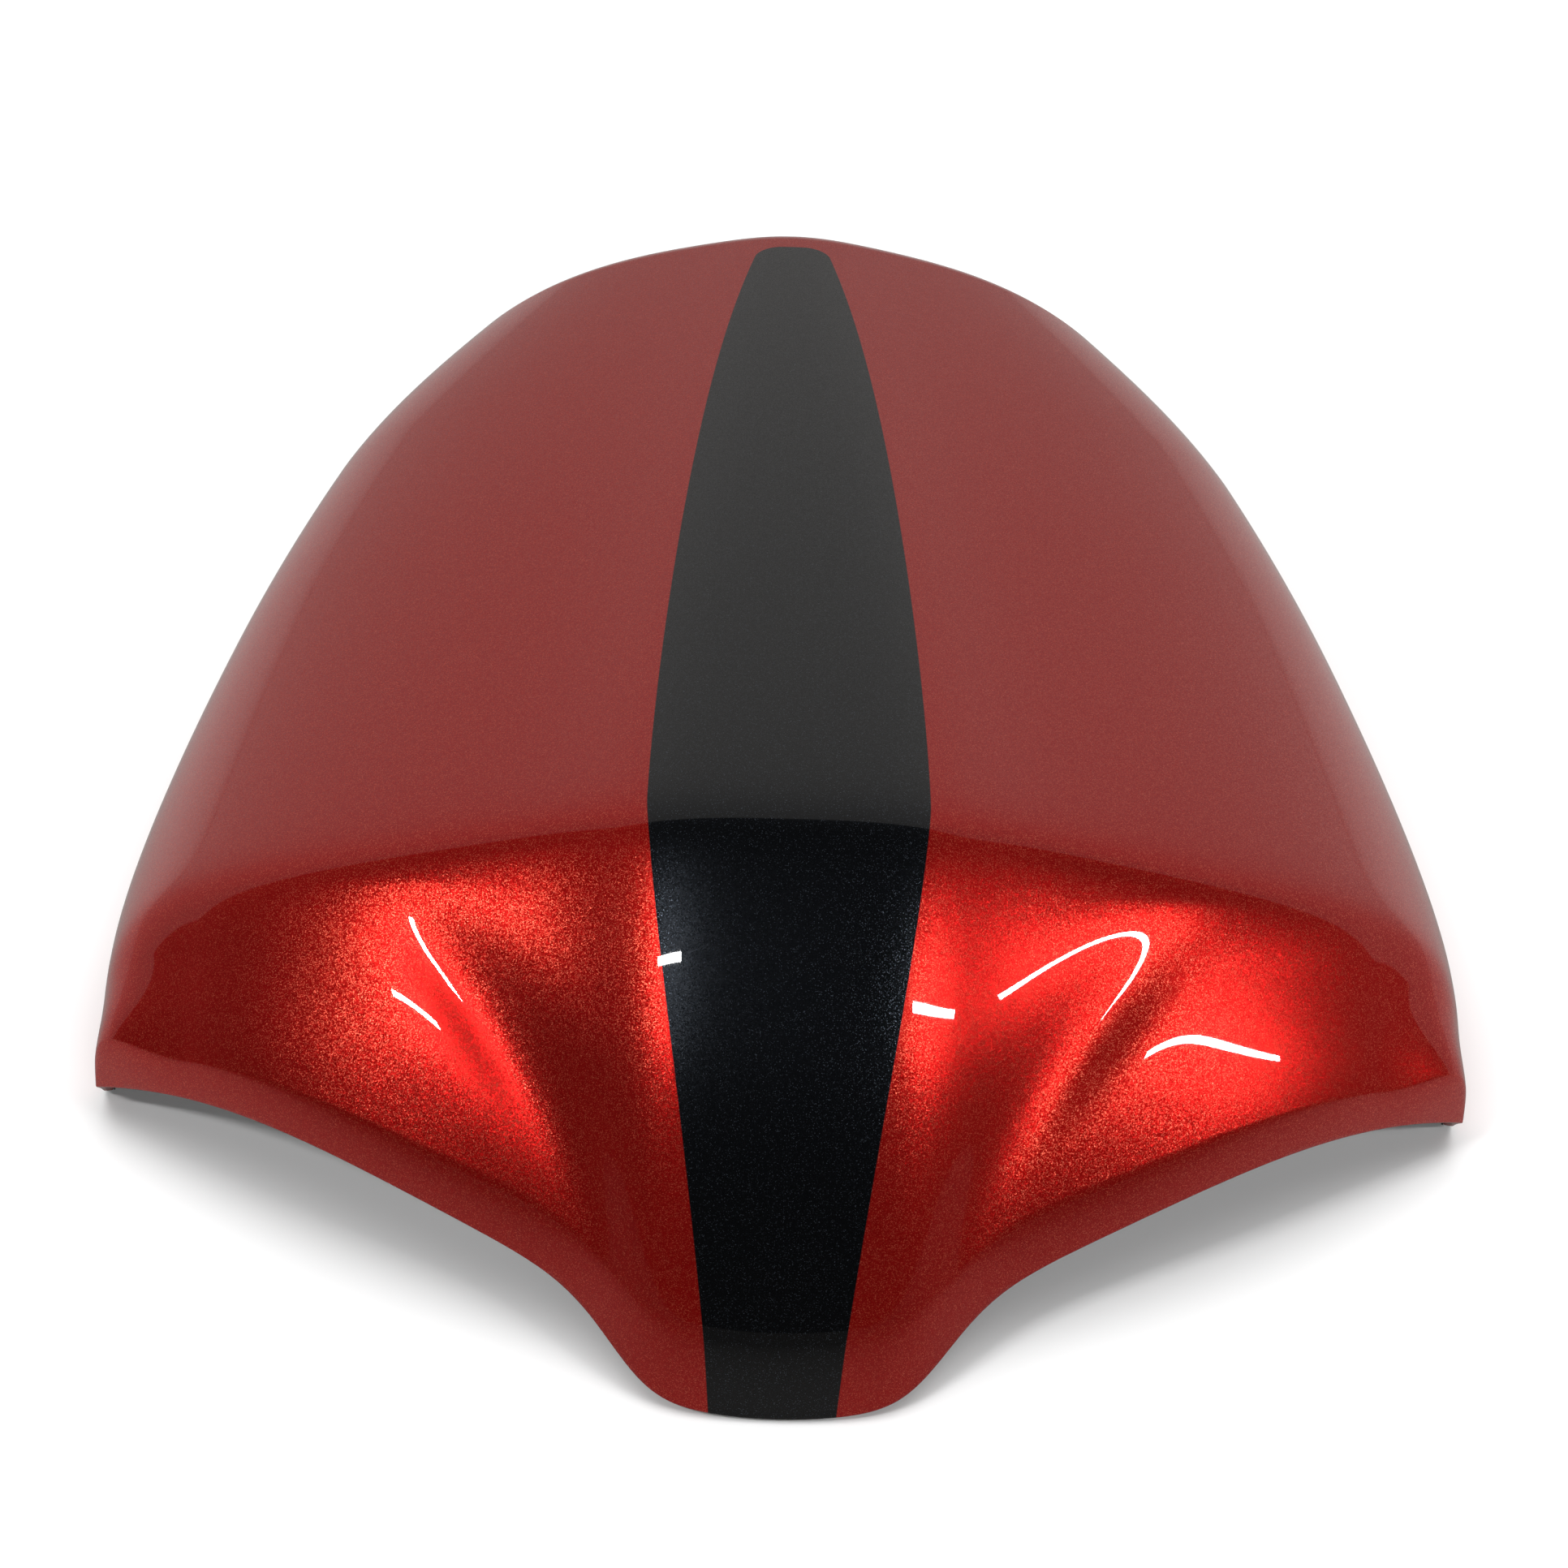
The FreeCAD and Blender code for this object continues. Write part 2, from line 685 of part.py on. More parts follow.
def striker_loop():
    """Bent rod that the seat latch grips, with its legs butted to the plate."""
    y = STRIKER_SETBACK - MIDDLE
    top = PAN_Z - STRIKER_PLATE_THICK
    half = STRIKER_LEG_SPACING / 2.0
    bend = 6.0
    low = top - STRIKER_DROP + STRIKER_ROD_RADIUS
    c = bend * math.sqrt(0.5)
    path = Part.Wire([
        Part.makeLine(V(-half, y, top), V(-half, y, low + bend)),
        Part.Arc(
            V(-half, y, low + bend), V(-half + bend - c, y, low + bend - c), V(-half + bend, y, low)
        ).toShape(),
        Part.makeLine(V(-half + bend, y, low), V(half - bend, y, low)),
        Part.Arc(
            V(half - bend, y, low), V(half - bend + c, y, low + bend - c), V(half, y, low + bend)
        ).toShape(),
        Part.makeLine(V(half, y, low + bend), V(half, y, top)),
    ])
    circle = Part.makeCircle(STRIKER_ROD_RADIUS, V(-half, y, top), V(0, 0, -1))
    return path.makePipeShell([Part.Wire(circle)], True, False)


def striker_bolts():
    solids = []
    length = PAN_THICK + STRIKER_PLATE_THICK + NUT_HEIGHT + 2.0
    for x, y in striker_bolt_spots():
        head = hexagon(x, y, PAN_TOP, BOLT_HEX_RADIUS, BOLT_HEAD_HEIGHT)
        solids.append(head.fuse(cylinder(x, y, PAN_TOP - length, BOLT_RADIUS, length)))
    return group(solids)


def striker_nuts():
    solids = []
    z = PAN_Z - STRIKER_PLATE_THICK - NUT_HEIGHT
    for x, y in striker_bolt_spots():
        nut = hexagon(x, y, z, BOLT_HEX_RADIUS, NUT_HEIGHT)
        solids.append(nut.cut(cylinder(x, y, z - 1, BOLT_RADIUS + 0.05, NUT_HEIGHT + 2)))
    return group(solids)


def hook_plate():
    """Steel plate with two tongues that slide under the tail of the subframe."""
    y = HOOK_SETBACK - MIDDLE
    z = PAN_Z - HOOK_THICK
    plate = block(0, y, z, HOOK_PLATE_WIDTH, HOOK_PLATE_LENGTH, HOOK_THICK)
    back = y + HOOK_PLATE_LENGTH / 2.0
    tongues = []
    for side in (-1, 1):
        x = side * HOOK_TONGUE_OFFSET
        leg = block(x, back - HOOK_THICK / 2, z - HOOK_LEG, HOOK_TONGUE_WIDTH, HOOK_THICK, HOOK_LEG + 1)
        foot = block(x, back + HOOK_REACH / 2 - HOOK_THICK, z - HOOK_LEG, HOOK_TONGUE_WIDTH,
                     HOOK_REACH, HOOK_THICK)
        tip = [e for e in foot.Edges if abs(e.tangentAt(e.FirstParameter).z) > 0.9]
        tip = [e for e in tip if e.CenterOfMass.y > back + 1]
        tongues.append(leg.fuse(foot.makeFillet(4.0, tip)))
    holes = [cylinder(a, b, z - 1, RIVET_RADIUS + 0.1, HOOK_THICK + 2) for a, b in rivet_spots()]
    return plate.fuse(tongues).cut(holes)


def hook_rivets():
    solids = []
    low = PAN_Z - HOOK_THICK - RIVET_HEAD_HEIGHT
    for x, y in rivet_spots():
        lower = cylinder(x, y, low, RIVET_HEAD_RADIUS, RIVET_HEAD_HEIGHT)
        upper = cylinder(x, y, PAN_TOP, RIVET_HEAD_RADIUS, RIVET_HEAD_HEIGHT)
        shank = cylinder(x, y, low, RIVET_RADIUS, PAN_TOP - low + RIVET_HEAD_HEIGHT)
        solids.append(shank.fuse([lower, upper]))
    return group(solids)


def buffer_block(fraction, setback):
    """Rubber stop pushed into the pan by its stem and cap."""
    x, y = spot(fraction, setback)
    low = PAN_Z - BUFFER_HEIGHT
    body = cylinder(x, y, low, BUFFER_RADIUS, BUFFER_HEIGHT)
    rim = [e for e in body.Edges if abs(e.CenterOfMass.z - low) < 1e-3 and e.Length > 4 * BUFFER_RADIUS]
    body = body.makeFillet(3.0, rim)
    stem = cylinder(x, y, PAN_Z - 1, BUFFER_STEM_RADIUS, PAN_THICK + 2)
    cap = Part.makeCone(BUFFER_CAP_RADIUS, BUFFER_STEM_RADIUS, BUFFER_CAP_HEIGHT, V(x, y, PAN_TOP), UP)
    return body.fuse([stem, cap])


def grommet(fraction, setback):
    """Grooved rubber ring gripping the edge of its hole in the pan."""
    x, y = spot(fraction, setback)
    low = PAN_Z - GROMMET_FLANGE_THICK
    height = PAN_THICK + 2 * GROMMET_FLANGE_THICK
    below = cylinder(x, y, low, GROMMET_FLANGE_RADIUS, GROMMET_FLANGE_THICK)
    above = cylinder(x, y, PAN_TOP, GROMMET_FLANGE_RADIUS, GROMMET_FLANGE_THICK)
    neck = cylinder(x, y, low, GROMMET_NECK_RADIUS, height)
    return neck.fuse([below, above]).cut(cylinder(x, y, low - 1, GROMMET_BORE, height + 2))


def collar(fraction, setback):
    """Flanged steel spacer that takes the mounting bolt."""
    x, y = spot(fraction, setback)
    low = PAN_Z - GROMMET_FLANGE_THICK
    height = PAN_THICK + 2 * GROMMET_FLANGE_THICK
    flange_z = low - COLLAR_FLANGE_THICK
    flange = cylinder(x, y, flange_z, COLLAR_FLANGE_RADIUS, COLLAR_FLANGE_THICK)
    tube = cylinder(x, y, flange_z, COLLAR_RADIUS, height + COLLAR_FLANGE_THICK + 0.5)
    return tube.fuse(flange).cut(cylinder(x, y, flange_z - 1, COLLAR_BORE, height + 6))


def foam_pad(side):
    x, y = spot(side * FOAM_FRACTION, FOAM_SETBACK)
    pad = block(x, y, PAN_Z - FOAM_THICK, FOAM_WIDTH, FOAM_LENGTH, FOAM_THICK)
    corners = [e for e in pad.Edges if abs(e.tangentAt(e.FirstParameter).z) > 0.9]
    return pad.makeFillet(5.0, corners)


def edge_seals():
    """Rubber strips bonded round the inside of the rim, as left, right and tail."""
    start = EAR_SETBACK + 20.0
    top = SEAL_BOTTOM + SEAL_HEIGHT
    near = WALL + SEAL_GLUE_GAP
    outer = outline_face(top, SEAL_BOTTOM, near, start, 10.0)
    inner = outline_face(top, SEAL_BOTTOM, near + SEAL_THICK, start, 10.0)
    ring = outer.extrude(V(0, 0, SEAL_HEIGHT)).cut(inner.extrude(V(0, 0, SEAL_HEIGHT)))
    first = start - MIDDLE + 30.0
    split = SEAL_SPLIT_SETBACK - MIDDLE
    wide = 2 * HALF_WIDTH
    run = split - first - SEAL_SPLIT_GAP / 2.0
    left = Part.makeBox(wide, run, 40, V(-wide, first, -5))
    right = Part.makeBox(wide, run, 40, V(0, first, -5))
    tail = Part.makeBox(2 * wide, LENGTH, 40, V(-wide, split + SEAL_SPLIT_GAP / 2.0, -5))
    return {
        "edge_seal_left": ring.common(left),
        "edge_seal_right": ring.common(right),
        "edge_seal_tail": ring.common(tail),
    }


def clip_body(x, y):
    """Flanged sleeve through the pan and the shell tab."""
    low = PAN_Z - CLIP_FLANGE_THICK
    top = PAN_TOP + TAB_THICK + 3.0
    flange = cylinder(x, y, low, CLIP_FLANGE_RADIUS, CLIP_FLANGE_THICK)
    sleeve = cylinder(x, y, low, CLIP_BODY_RADIUS, top - low)
    bore = cylinder(x, y, low - 1, CLIP_BORE, top - low + 2)
    slot = block(x, y, PAN_TOP + 0.5, 1.2, 3 * CLIP_BODY_RADIUS, top - PAN_TOP)
    return flange.fuse(sleeve).cut([bore, slot])


def clip_pin(x, y):
    """Centre pin that spreads the sleeve when pushed home."""
    head_top = PAN_Z - CLIP_FLANGE_THICK - CLIP_STANDOFF
    head = cylinder(x, y, head_top - CLIP_HEAD_THICK, CLIP_HEAD_RADIUS, CLIP_HEAD_THICK)
    length = CLIP_STANDOFF + CLIP_FLANGE_THICK + PAN_THICK + TAB_THICK + 4.0
    shaft = cylinder(x, y, head_top, CLIP_PIN_RADIUS, length)
    tip = Part.makeCone(CLIP_PIN_RADIUS, 0.8, 2.0, V(x, y, head_top + length), UP)
    pin = head.fuse([shaft, tip])
    return pin.cut(cross_recess(x, y, head_top - CLIP_HEAD_THICK))


def save(name, shape):
    shape.exportStep("parts/" + name + ".step")


os.makedirs("parts", exist_ok=True)

save("cowl_shell", cowl_shell())
save("base_pan", base_pan())
save("boss_inserts", boss_inserts())
save("pan_washers", pan_washers())
save("pan_screws", pan_screws())
save("striker_plate", striker_plate())
save("striker_loop", striker_loop())
save("striker_bolts", striker_bolts())
save("striker_nuts", striker_nuts())
save("hook_plate", hook_plate())
save("hook_rivets", hook_rivets())
for name, (fraction, setback) in BUFFER_SPOTS.items():
    save(name, buffer_block(fraction, setback))
for side, (fraction, setback) in GROMMET_SPOTS.items():
    save("grommet_" + side, grommet(fraction, setback))
    save("collar_" + side, collar(fraction, setback))
save("foam_pad_left", foam_pad(-1))
save("foam_pad_right", foam_pad(1))
for name, shape in edge_seals().items():
    save(name, shape)
for number, (x, y) in enumerate(clip_spots(), start=1):
    save("clip_body_%d" % number, clip_body(x, y))
    save("clip_pin_%d" % number, clip_pin(x, y))
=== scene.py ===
import bpy
import json
import math
import numpy as np
from mathutils import Matrix, Vector


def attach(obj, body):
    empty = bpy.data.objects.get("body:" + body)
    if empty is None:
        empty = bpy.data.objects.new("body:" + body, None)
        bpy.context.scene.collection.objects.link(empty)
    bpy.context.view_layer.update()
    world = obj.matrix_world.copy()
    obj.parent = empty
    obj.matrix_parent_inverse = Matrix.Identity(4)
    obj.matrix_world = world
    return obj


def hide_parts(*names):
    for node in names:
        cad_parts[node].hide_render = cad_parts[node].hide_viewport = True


# Motorcycle rear seat cowl: the painted shell is rebuilt as a finely divided mesh from the
# same surface formula as the CAD part, and every other piece is the CAD piece with a finish.
# Metres, in the row frame: X to the right, +Y to the tail, +Z up. Constants marked mm are
# millimetres and are scaled once, when the shell's mesh is added.

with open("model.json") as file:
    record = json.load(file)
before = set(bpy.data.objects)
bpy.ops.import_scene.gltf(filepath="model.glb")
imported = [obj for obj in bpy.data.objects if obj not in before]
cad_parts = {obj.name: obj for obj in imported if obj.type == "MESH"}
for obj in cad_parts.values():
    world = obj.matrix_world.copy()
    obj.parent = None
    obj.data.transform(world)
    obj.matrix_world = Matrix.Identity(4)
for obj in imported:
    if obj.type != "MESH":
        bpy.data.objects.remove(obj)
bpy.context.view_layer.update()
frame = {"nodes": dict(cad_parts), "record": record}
NODES = frame["nodes"]
MM = 0.001

# Shell outline and surface, mm
LENGTH = 484.0
HALF_WIDTH = 189.5
CREST_HEIGHT = 111.0
WALL = 3.0
MIDDLE = LENGTH / 2.0 + 0.55
EAR_SETBACK = 113.0
CREST_SETBACK = 100.0
WIDEST_SETBACK = 93.0
TAIL_TAPER = 0.456
FRONT_RAKE = 0.896
FRONT_BEND = 154.0
TONGUE_LENGTH = 21.6
TONGUE_HALF_WIDTH = 46.0
TONGUE_POWER = 6.6
SWEEP_REACH = 273.0
TAIL_BOW = 39.6
TAIL_BOW_POWER = 3.2
TAIL_SWEEP_REACH = 120.0
ARCH_HEIGHT = 36.0
ARCH_SKEW = 1.15
ARCH_POWER = 0.9
ARCH_FADE = 60.0
TRIM_ALLOWANCE = 6.0
TOP_FALL = 0.125
TOP_BELLY = 14.0
TOP_CROWN = 28.0
SPINE_HEIGHT = 15.0
SPINE_HALF_WIDTH = 57.0
SPINE_TAIL_HALF_WIDTH = 31.0
SPINE_FADE = 0.62
SPINE_POWER = 4.5
SPINE_TAIL_POWER = 2.0
SPINE_FRONT = 0.276
FACE_REACH = 183.0
FACE_HEIGHT = 132.7
FACE_SIDE_DROP = 25.7
FACE_NOSE_FULLNESS = 1.22
FACE_SIDE_FULLNESS = 0.96
CREST_BLEND = 3.0
SCOOP_DEPTH = 4.5
SCOOP_REACH = 0.44
SCOOP_OFFSET = 42.0
SCOOP_SPREAD = 135.0
SCOOP_WIDTH = 16.0
SKIRT = 10.8
SKIRT_TIP = 3.0
SKIRT_EAR = 30.0
SKIRT_EDGE = 9.0
SIDE_POWER = 2.4
SIDE_ROLL = 4.6
TAIL_ROLL = 30.0
TAIL_ROLL_POWER = 1.6

# Fine mesh of the shell
ROWS_ACROSS = 361
ROWS_ALONG = 521
END_MARGIN = 0.15
SIDE_MARGIN = 0.04
SOFTEN_PASSES = 60
SOFTEN_STEP = 6
RIM_RADIUS = 0.7
RIM_STEPS = 3

# Black stripe painted along the spine, mm
STRIPE_CREST = 37.0
STRIPE_TIP = 16.3
STRIPE_CREST_SETBACK = 107.0
STRIPE_FRONT_POWER = 1.45
STRIPE_TAIL_SETBACK = 447.5
STRIPE_TAIL_LOSS = 0.56
STRIPE_END_LOSS = 0.14
STRIPE_CORNER = 7.0
STRIPE_SHIFT = -1.4
OFF_STRIPE = -500.0

# Flake colours, from the dull flakes to the bright ones
RED_FLAKE = [
    (0.0, (0.52, 0.004, 0.003)),
    (0.75, (0.64, 0.010, 0.008)),
    (1.0, (0.92, 0.14, 0.08)),
]
BLACK_FLAKE = [
    (0.0, (0.006, 0.007, 0.009)),
    (0.93, (0.008, 0.010, 0.013)),
    (1.0, (0.10, 0.12, 0.15)),
]

# Moulded features inside the shell, mm
PAN_TOP = 28.5
BOSS_SPOTS = [
    (-0.36, 145.0), (0.36, 145.0), (-0.62, 236.0),
    (0.62, 236.0), (-0.42, 400.0), (0.42, 400.0),
]
BOSS_RADIUS = 6.0
BOSS_FIN_SPAN = 26.0
BOSS_FIN_THICK = 2.0
BOSS_FIN_HEIGHT = 22.0
CLIP_SETBACKS = (165.0, 330.0)
TAB_REACH = 32.0
TAB_WIDTH = 20.0
TAB_THICK = 2.5

# Camera, metres and degrees
AIM = Vector((0.00011, -0.0483, 0.0504))
CAMERA_DISTANCE = 1.15
CAMERA_RISE = 42.07
CAMERA_TURN = 1.31
CAMERA_ROLL = 2.47
LENS = 91.74
SENSOR = 36.0


# ---------------------------------------------------------------- shell surface

def clip01(value):
    return np.clip(value, 0.0, 1.0)


def front_setback(x):
    """Distance of the front edge behind the nose tip at a given X."""
    rake = FRONT_RAKE * (np.hypot(x, FRONT_BEND) - FRONT_BEND)
    tongue = 1.0 / (1.0 + (np.abs(x) / TONGUE_HALF_WIDTH) ** TONGUE_POWER)
    return rake + TONGUE_LENGTH * (1.0 - tongue)


def half_width(s):
    t = clip01((s - WIDEST_SETBACK) / (LENGTH - WIDEST_SETBACK))
    return HALF_WIDTH * (1.0 - TAIL_TAPER * t * t)


def rim_height(setback):
    t = clip01(setback / EAR_SETBACK)
    return ARCH_HEIGHT * np.maximum(0.0, np.sin(math.pi * t ** ARCH_SKEW)) ** ARCH_POWER


def spine_height(x, s):
    """Raised centre ridge, narrowing and fading towards the tail."""
    t = clip01((s - CREST_SETBACK) / (LENGTH - CREST_SETBACK))
    width = SPINE_HALF_WIDTH + (SPINE_TAIL_HALF_WIDTH - SPINE_HALF_WIDTH) * t
    power = SPINE_POWER + (SPINE_TAIL_POWER - SPINE_POWER) * t
    ridge = SPINE_HEIGHT * (1.0 - SPINE_FADE * t)
    start = clip01(s / FACE_REACH / SPINE_FRONT)
    return ridge * (1.0 - (1.0 - start) ** 2) / (1.0 + (np.abs(x) / width) ** power)


def top_height(x, s):
    """Upper surface behind the crest, before the spine is added."""
    t = clip01((s - CREST_SETBACK) / (LENGTH - CREST_SETBACK))
    fall = TOP_FALL * (s - CREST_SETBACK) + TOP_BELLY * t * t
    return CREST_HEIGHT - fall - TOP_CROWN * (x / HALF_WIDTH) ** 2


def face_height(x, s):
    """Raked front face, rising from the top of the skirt."""
    ax = np.abs(x)
    nose = 1.0 / (1.0 + (ax / TONGUE_HALF_WIDTH) ** TONGUE_POWER)
    skirt = SKIRT + (SKIRT_TIP - SKIRT) * nose
    skirt = skirt + SKIRT_EAR * clip01((ax / HALF_WIDTH - 0.84) / 0.16) ** 2
    low = rim_height(front_setback(x)) + skirt
    high = FACE_HEIGHT - FACE_SIDE_DROP * (x / HALF_WIDTH) ** 2
    fullness = FACE_SIDE_FULLNESS + (FACE_NOSE_FULLNESS - FACE_SIDE_FULLNESS) * nose
    t = clip01(s / FACE_REACH)
    rise = (1.0 - (1.0 - t) ** 2) ** (1.0 / fullness)
    return low + (high - low) * rise


def scoop_depth(x, s):
    """Hollow on each side of the nose ridge."""
    t = clip01(s / FACE_REACH)
    middle = SCOOP_OFFSET + SCOOP_SPREAD * t
    across = np.exp(-((np.abs(x) - middle) / SCOOP_WIDTH) ** 2)
    rise = clip01(t / SCOOP_REACH)
    return SCOOP_DEPTH * across * (4.0 * rise * (1.0 - rise)) ** 1.5


def skin_points(u, s):
    """Outer skin at width fractions u and setbacks s, as an array of points in mm."""
    x = half_width(s) * u
    setback = front_setback(x)
    front_pull = np.maximum(0.0, 1.0 - s / SWEEP_REACH) ** 2
    tail_pull = np.maximum(0.0, 1.0 - (LENGTH - s) / TAIL_SWEEP_REACH) ** 1.5
    y = s - MIDDLE + setback * front_pull
    y = y - TAIL_BOW * np.abs(u) ** TAIL_BOW_POWER * tail_pull
    fade = clip01(1.0 - s / ARCH_FADE)
    fade = fade * fade * (3.0 - 2.0 * fade)
    base = rim_height(setback) * fade - TRIM_ALLOWANCE
    top = top_height(x, s)
    face = face_height(x, s)
    blend = 0.5 * (top + face - np.sqrt((top - face) ** 2 + 4.0 * CREST_BLEND ** 2))
    crown = blend + spine_height(x, s) - scoop_depth(x, s)
    side = np.maximum(0.0, 1.0 - np.abs(u) ** SIDE_POWER) ** (1.0 / SIDE_ROLL)
    tail = (1.0 - (1.0 - clip01((LENGTH - s) / TAIL_ROLL)) ** 2) ** (1.0 / TAIL_ROLL_POWER)
    front = (1.0 - (1.0 - clip01(s / SKIRT_EDGE)) ** 2) ** 0.5
    z = base + (crown - base) * side * tail * front
    return np.stack([x, y, z], axis=-1)


def width_stations(count):
    """Width fractions from -1 to 1, evenly spaced along the rolled section."""
    rise = SIDE_MARGIN + (1.0 - SIDE_MARGIN) * np.cos(np.linspace(0.0, math.pi / 2.0, 4001))
    u = (1.0 - rise ** SIDE_ROLL) ** (1.0 / SIDE_POWER)
    step = np.hypot(np.diff(u), np.diff(rise) * CREST_HEIGHT / HALF_WIDTH)
    run = np.concatenate([[0.0], np.cumsum(step)])
    half = np.interp(np.linspace(0.0, run[-1], count // 2 + 1), run, u)
    return np.concatenate([-half[:0:-1], half])


def length_stations(count):
    """Setbacks from nose to tail, closest together at the two rolled ends."""
    waves = (1.0 - np.cos(math.pi * np.arange(count) / (count - 1))) / 2.0
    even = np.arange(count) / (count - 1)
    return END_MARGIN + (LENGTH - 2.0 * END_MARGIN) * (0.6 * waves + 0.4 * even)


def grid_normals(grid):
    """Unit normals of a grid of points, pointing out of the shell."""
    across = np.gradient(grid, axis=0)
    along = np.gradient(grid, axis=1)
    normal = np.cross(across, along)
    return normal / np.linalg.norm(normal, axis=-1, keepdims=True)


def soften(normals):
    """Offset directions that turn gradually, so the inner skin mitres at the ears."""
    soft = normals
    k = SOFTEN_STEP
    for _ in range(SOFTEN_PASSES):
        wide = np.pad(soft, ((k, k), (k, k), (0, 0)), mode="edge")
        rows = wide[:-2 * k] + wide[k:-k] + wide[2 * k:]
        soft = (rows[:, :-2 * k] + rows[:, k:-k] + rows[:, 2 * k:]) / 9.0
    scale = np.maximum(0.75, np.sum(soft * normals, axis=-1, keepdims=True))
    return soft / scale


def above_rim(point):
    """How far a point stands above the rim line, less the rim's rounding, mm."""
    return point[..., 2] - rim_height(point[..., 1] + MIDDLE) - RIM_RADIUS


def stripe_margin(x, s):
    """Distance inside the edge of the painted stripe, mm: negative outside it."""
    front = clip01(1.0 - s / STRIPE_CREST_SETBACK)
    back = clip01((s - STRIPE_CREST_SETBACK) / (STRIPE_TAIL_SETBACK - STRIPE_CREST_SETBACK))
    nose_part = STRIPE_TIP + (STRIPE_CREST - STRIPE_TIP) * (1.0 - front ** STRIPE_FRONT_POWER)
    loss = STRIPE_TAIL_LOSS * back ** 1.7 + STRIPE_END_LOSS * back ** 6
    half = np.where(s < STRIPE_CREST_SETBACK, nose_part, STRIPE_CREST * (1.0 - loss))
    side = half - np.abs(x - STRIPE_SHIFT * (1.0 - back))
    end = STRIPE_TAIL_SETBACK - s
    a = np.maximum(0.0, STRIPE_CORNER - side)
    b = np.maximum(0.0, STRIPE_CORNER - end)
    inside = STRIPE_CORNER - np.hypot(a, b)
    return np.where((a > 0.0) & (b > 0.0), inside, np.minimum(side, end))


def painted_shell():
    """Outer skin trimmed at the rim line, with offset directions for the inner skin and the links along
    the rim.
    """
    u, s = np.meshgrid(width_stations(ROWS_ACROSS), length_stations(ROWS_ALONG), indexing="ij")
    outer = skin_points(u, s)
    normals = grid_normals(outer)
    inset = soften(normals)
    height = above_rim(outer)
    cols = u.shape[1]
    verts = list(outer.reshape(-1, 3))
    shift = list(inset.reshape(-1, 3))
    wide = list(u.ravel())
    back = list(s.ravel())
    high = height.ravel()
    crossings = {}

    def crossing(a, b):
        """Vertex where the grid edge from a to b meets the rim line."""
        key = (min(a, b), max(a, b))
        if key in crossings:
            return crossings[key]
        low, top = 0.0, 1.0
        for _ in range(24):
            t = 0.5 * (low + top)
            p = skin_points(np.float64(wide[a] + (wide[b] - wide[a]) * t),
                            np.float64(back[a] + (back[b] - back[a]) * t))
            if (above_rim(p) > 0) == (high[a] > 0):
                low = t
            else:
                top = t
        crossings[key] = len(verts)
        verts.append(p)
        shift.append(shift[a] * (1.0 - t) + shift[b] * t)
        wide.append(wide[a] + (wide[b] - wide[a]) * t)
        back.append(back[a] + (back[b] - back[a]) * t)
        return crossings[key]

    up = height > 0
    i, j = np.meshgrid(np.arange(u.shape[0] - 1), np.arange(cols - 1), indexing="ij")
    corner = i * cols + j
    quads = np.stack([corner, corner + cols, corner + cols + 1, corner + 1], axis=-1).reshape(-1, 4)
    count = up.ravel()[quads].sum(axis=1)
    faces = [list(map(int, q)) for q in quads[count == 4]]
    rim = {}
    for quad in quads[(count > 0) & (count < 4)]:
        ring = []
        cut = []
        for a, b in zip(quad, np.roll(quad, -1)):
            if high[a] > 0:
                ring.append(int(a))
            if (high[a] > 0) != (high[b] > 0):
                c = crossing(int(a), int(b))
                ring.append(c)
                cut.append((c, high[a] > 0))
        if len(cut) == 2:
            leaving = [c for c, was_up in cut if was_up][0]
            arriving = [c for c, was_up in cut if not was_up][0]
            rim[leaving] = arriving
        faces.append(ring)
    return verts, shift, back, faces, rim


def add_mesh(name, verts, faces, body):
    mesh = bpy.data.meshes.new(name)
    mesh.from_pydata([tuple(v) for v in verts], [], faces)
    mesh.validate()
    mesh.update()
    thing = bpy.data.objects.new(name, mesh)
    bpy.context.scene.collection.objects.link(thing)
    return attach(thing, body)


def build_shell():
    verts, shift, back, faces, rim = painted_shell()
    used = sorted(set(k for f in faces for k in f))
    renumber = {k: n for n, k in enumerate(used)}
    total = len(used)
    outer = np.array([verts[k] for k in used])
    inner = outer - WALL * np.array([shift[k] for k in used])
    lowest = rim_height(inner[:, 1] + MIDDLE) + RIM_RADIUS
    inner[:, 2] = np.maximum(inner[:, 2], lowest)
    edge = np.array([renumber[k] for k in rim])
    inner[edge, 2] = outer[edge, 2]
    margin = list(stripe_margin(outer[:, 0], np.array([back[k] for k in used])))
    margin += [OFF_STRIPE] * total
    points = list(outer) + list(inner)
    polys = [[renumber[k] for k in f] for f in faces]
    polys += [[renumber[k] + total for k in reversed(f)] for f in faces]
    side = [0] * len(faces) + [1] * len(faces)
    rings = {}
    for k in rim:
        a = renumber[k]
        arc = rim_arc(points, outer[a], inner[a])
        rings[a] = [a] + arc + [a + total]
        margin += [margin[a]] * len(arc)
    for k, following in rim.items():
        one = rings[renumber[k]]
        two = rings.get(renumber[following])
        if two is None:
            continue
        for n in range(len(one) - 1):
            polys.append([one[n], one[n + 1], two[n + 1], two[n]])
            side.append(0)
    for ring, bottom in inner_features():
        prism = add_prism(points, ring, bottom)
        polys += prism
        side += [1] * len(prism)
    margin += [OFF_STRIPE] * (len(points) - len(margin))
    shell = add_mesh("painted_shell", [Vector(p) * MM for p in points], polys, "cowl")
    layer = shell.data.attributes.new("stripe_margin", "FLOAT", "POINT")
    layer.data.foreach_set("value", np.array(margin, np.float32))
    shell.data.materials.append(lacquer())
    shell.data.materials.append(primer())
    shell.data.polygons.foreach_set("material_index", side)
    shell.data.shade_smooth()
    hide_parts("cowl_shell")
    return shell


